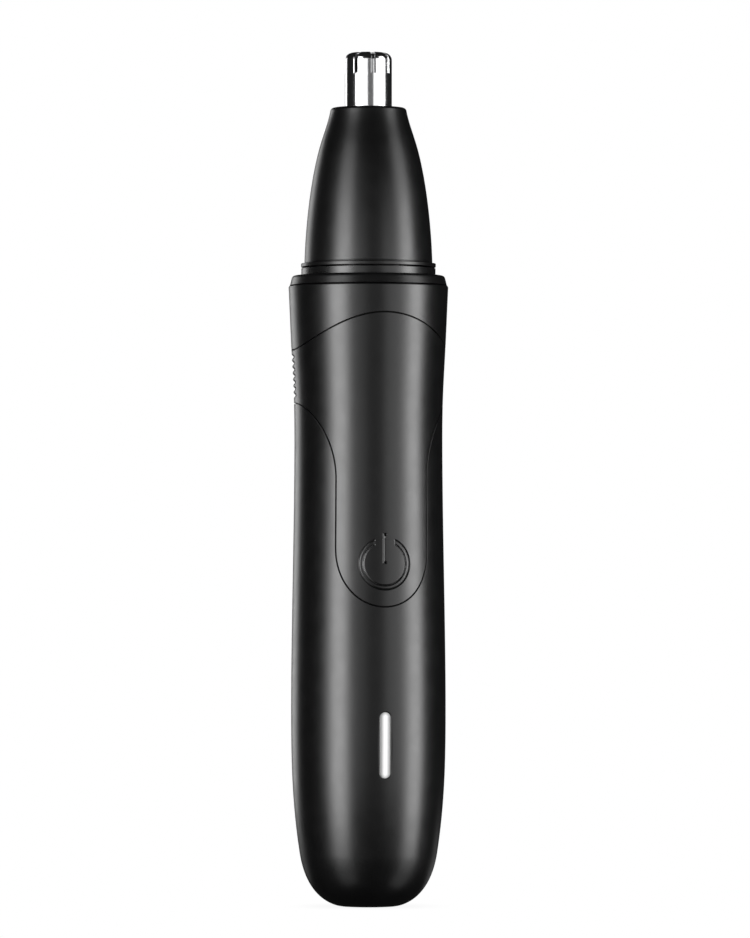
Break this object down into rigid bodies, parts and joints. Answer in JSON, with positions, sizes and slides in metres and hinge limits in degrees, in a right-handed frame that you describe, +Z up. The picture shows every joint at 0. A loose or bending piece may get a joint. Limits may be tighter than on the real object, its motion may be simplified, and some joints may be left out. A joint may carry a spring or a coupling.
{
  "type": "nose hair trimmer",
  "caption": "Slim upright handheld hair trimmer: tapered lift-off head, slotted round steel cutter, waisted handle with a grip band, push button, status light and a charging port in the foot.",
  "frame": {"origin": "centre of the flat foot, on the rotor axis", "axes": "+Z up along the rotor axis, from the foot to the cutter; the button and light face -Y; +X is to the right of someone facing the button"},
  "size_m": [0.0254, 0.0254, 0.136],
  "materials": {
    "body_plastic": "satin moulded black",
    "grip_rubber": "soft-touch satin black",
    "button_plastic": "satin black",
    "trim_gloss": "glossy black",
    "head_plastic": "satin black",
    "neck_plastic": "satin black",
    "cutter_steel": "polished stainless steel",
    "blade_steel": "ground stainless steel",
    "lens_white": "frosted, lit white",
    "drive_plastic": "natural acetal",
    "chassis_plastic": "moulded grey",
    "seal_rubber": "silicone",
    "spring_steel": "drawn wire",
    "motor_steel": "zinc plated",
    "magnet_ferrite": "sintered ferrite",
    "copper": "enamelled copper",
    "bronze": "sintered bronze",
    "board_green": "solder mask",
    "chip_black": "moulded epoxy",
    "contact_metal": "nickel plated",
    "battery_wrap": "cell in a plastic sleeve",
    "pad_foam": "foam",
    "lead_sleeve": "wire insulation"
  },
  "bodies": {
    "handle": {"body_shell": "body_plastic", "grip_band": "grip_rubber", "light_guide": "lens_white", "collar_ring": "trim_gloss", "usb_shell": "contact_metal", "usb_tongue": "chip_black", "port_gasket": "seal_rubber", "port_board": "board_green", "port_pins": "contact_metal", "main_board": "board_green", "status_leds": "lens_white", "switch_base": "chip_black", "control_chip": "chip_black", "charge_chip": "chip_black", "battery_cell": "battery_wrap", "battery_tab_positive": "contact_metal", "battery_tab_negative": "contact_metal", "battery_pad": "pad_foam", "chassis": "chassis_plastic", "motor_can": "motor_steel", "motor_end_cap": "chip_black", "motor_bushes": "bronze", "motor_magnets": "magnet_ferrite", "motor_brushes": "bronze", "motor_terminals": "contact_metal", "motor_screws": "motor_steel", "motor_leads": "lead_sleeve", "neck_mount": "neck_plastic", "neck_bush": "bronze", "neck_seal": "seal_rubber", "mouth_seal": "seal_rubber", "shaft_seal": "seal_rubber"},
    "rotor": {"motor_shaft": "motor_steel", "armature_core": "motor_steel", "armature_windings": "copper", "commutator": "copper", "drive_coupling": "drive_plastic", "blade_spring": "spring_steel"},
    "cutting_blade": {"cutter_stem": "drive_plastic", "inner_blade": "blade_steel"},
    "head": {"head_cone": "head_plastic", "outer_cutter": "cutter_steel", "cutter_retainer": "chassis_plastic"},
    "button": {"power_button": "button_plastic"},
    "plunger": {"switch_plunger": "drive_plastic"}
  },
  "joints": [
    {"name": "rotor_spin", "type": "hinge", "parent": "handle", "child": "rotor", "pos_m": [0, 0, 0.0889], "axis": [0, 0, 1], "continuous": true},
    {"name": "blade_float", "type": "slide", "parent": "rotor", "child": "cutting_blade", "axis": [0, 0, 1], "range_m": [-0.0005, 0], "deforming": ["blade_spring"]},
    {"name": "head_lift", "type": "slide", "parent": "handle", "child": "head", "axis": [0, 0, 1], "range_m": [0, 0.04]},
    {"name": "button_press", "type": "slide", "parent": "handle", "child": "button", "axis": [0, 1, 0], "range_m": [0, 0.0003]},
    {"name": "plunger_travel", "type": "slide", "parent": "handle", "child": "plunger", "axis": [0, 1, 0], "range_m": [0, 0.0003]}
  ],
  "couplings": [
    {"joint": "plunger_travel", "follows": "button_press", "ratio": 1}
  ]
}
